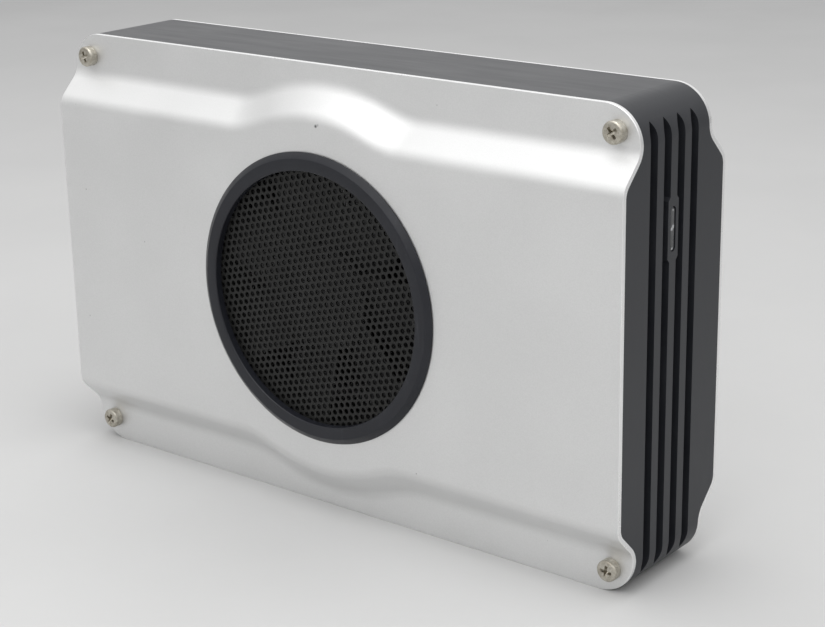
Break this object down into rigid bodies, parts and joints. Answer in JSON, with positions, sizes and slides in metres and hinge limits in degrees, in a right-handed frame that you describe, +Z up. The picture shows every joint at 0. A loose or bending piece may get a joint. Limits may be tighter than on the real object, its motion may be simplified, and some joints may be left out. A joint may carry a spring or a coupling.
{
  "type": "external hard disk drive",
  "caption": "External 3.5 inch hard disk drive: silver pressed covers on a dark grey frame, round fan grille, grooved end with a status light, drive, fan and bridge board inside.",
  "frame": {"origin": "middle of the bottom long edge that the case stands on", "axes": "+X along the case towards the grooved end with the status light, -Y out of the fan grille, +Z up"},
  "size_m": [0.2054, 0.05, 0.13],
  "materials": {
    "frame_grey": "fine matt texture, dark grey",
    "cover_aluminium": "fine bead blasted and clear anodised",
    "screw_nickel": "nickel plated steel, a little tarnished",
    "ring_black": "satin moulded",
    "grille_black": "black powder coat",
    "foam": "closed cell foam",
    "steel": "zinc plated",
    "black_plastic": "moulded",
    "copper": "enamelled copper wire",
    "bronze": "sintered bronze",
    "ferrite": "bonded ferrite",
    "red_wire": "soft insulation",
    "grey_wire": "soft insulation",
    "black_wire": "soft insulation",
    "clear_plastic": "clear polycarbonate",
    "board_green": "solder mask",
    "lamp_white": "clear epoxy",
    "chip_black": "moulded epoxy",
    "contact_gold": "gold flash",
    "tin_shell": "tin plated",
    "blue_plastic": "moulded",
    "rail_grey": "moulded",
    "cast_aluminium": "die cast",
    "lid_steel": "pressed stainless",
    "platter_mirror": "polished",
    "machined_aluminium": "machined",
    "magnet_nickel": "nickel plated",
    "ramp_ivory": "moulded",
    "filter_white": "non-woven"
  },
  "bodies": {
    "enclosure": {"middle_frame": "frame_grey", "front_cover": "cover_aluminium", "back_cover": "cover_aluminium", "front_cover_screws": "screw_nickel", "back_cover_screws": "screw_nickel", "grille_ring": "ring_black", "grille_plate": "grille_black", "fan_gasket": "foam", "fan_studs": "steel", "fan_nuts": "steel", "fan_frame": "black_plastic", "fan_stator": "copper", "fan_bearing": "bronze", "fan_lead": "red_wire", "light_pipe": "clear_plastic", "light_board": "board_green", "status_lights": "lamp_white", "light_lead": "grey_wire", "switch_housing": "black_plastic", "switch_terminals": "contact_gold", "switch_lead": "black_wire", "bridge_board": "board_green", "bridge_board_parts": "chip_black", "bridge_board_screws": "steel", "usb_shell": "tin_shell", "usb_insert": "blue_plastic", "power_jack": "black_plastic", "power_jack_pin": "contact_gold", "drive_socket": "black_plastic", "upper_drive_rail": "rail_grey", "lower_drive_rail": "rail_grey", "drive_rail_screws": "steel", "drive_base": "cast_aluminium", "drive_lid": "lid_steel", "drive_gasket": "foam", "drive_lid_screws": "steel", "spindle_stator": "copper", "pivot_post": "steel", "voice_yokes": "magnet_nickel", "voice_magnets": "magnet_nickel", "parking_ramp": "ramp_ivory", "air_filter": "filter_white", "drive_board": "board_green", "drive_board_parts": "chip_black", "drive_board_screws": "steel", "drive_plug": "black_plastic"},
    "fan_rotor": {"fan_rotor": "black_plastic", "fan_shaft": "steel", "fan_magnet": "ferrite"},
    "disk_spindle": {"spindle_hub": "machined_aluminium", "upper_platter": "platter_mirror", "lower_platter": "platter_mirror", "platter_spacer": "machined_aluminium", "disk_clamp": "machined_aluminium", "disk_clamp_screws": "steel"},
    "head_actuator": {"actuator_arm": "machined_aluminium", "head_springs": "steel", "voice_coil": "copper", "pivot_sleeve": "steel"},
    "power_rocker": {"switch_rocker": "black_plastic"}
  },
  "joints": [
    {"name": "fan_spin", "type": "hinge", "parent": "enclosure", "child": "fan_rotor", "pos_m": [0, -0.017, 0.065], "axis": [0, 1, 0], "continuous": true},
    {"name": "disk_spin", "type": "hinge", "parent": "enclosure", "child": "disk_spindle", "pos_m": [0.0405, 0, 0.065], "axis": [0, 1, 0], "continuous": true},
    {"name": "head_swing", "type": "hinge", "parent": "enclosure", "child": "head_actuator", "pos_m": [-0.013, 0, 0.083], "axis": [0, -1, 0], "range_deg": [0, 34]},
    {"name": "rocker_tilt", "type": "hinge", "parent": "enclosure", "child": "power_rocker", "pos_m": [-0.1, 0.005, 0.086], "axis": [0, -1, 0], "range_deg": [0, 20]}
  ]
}
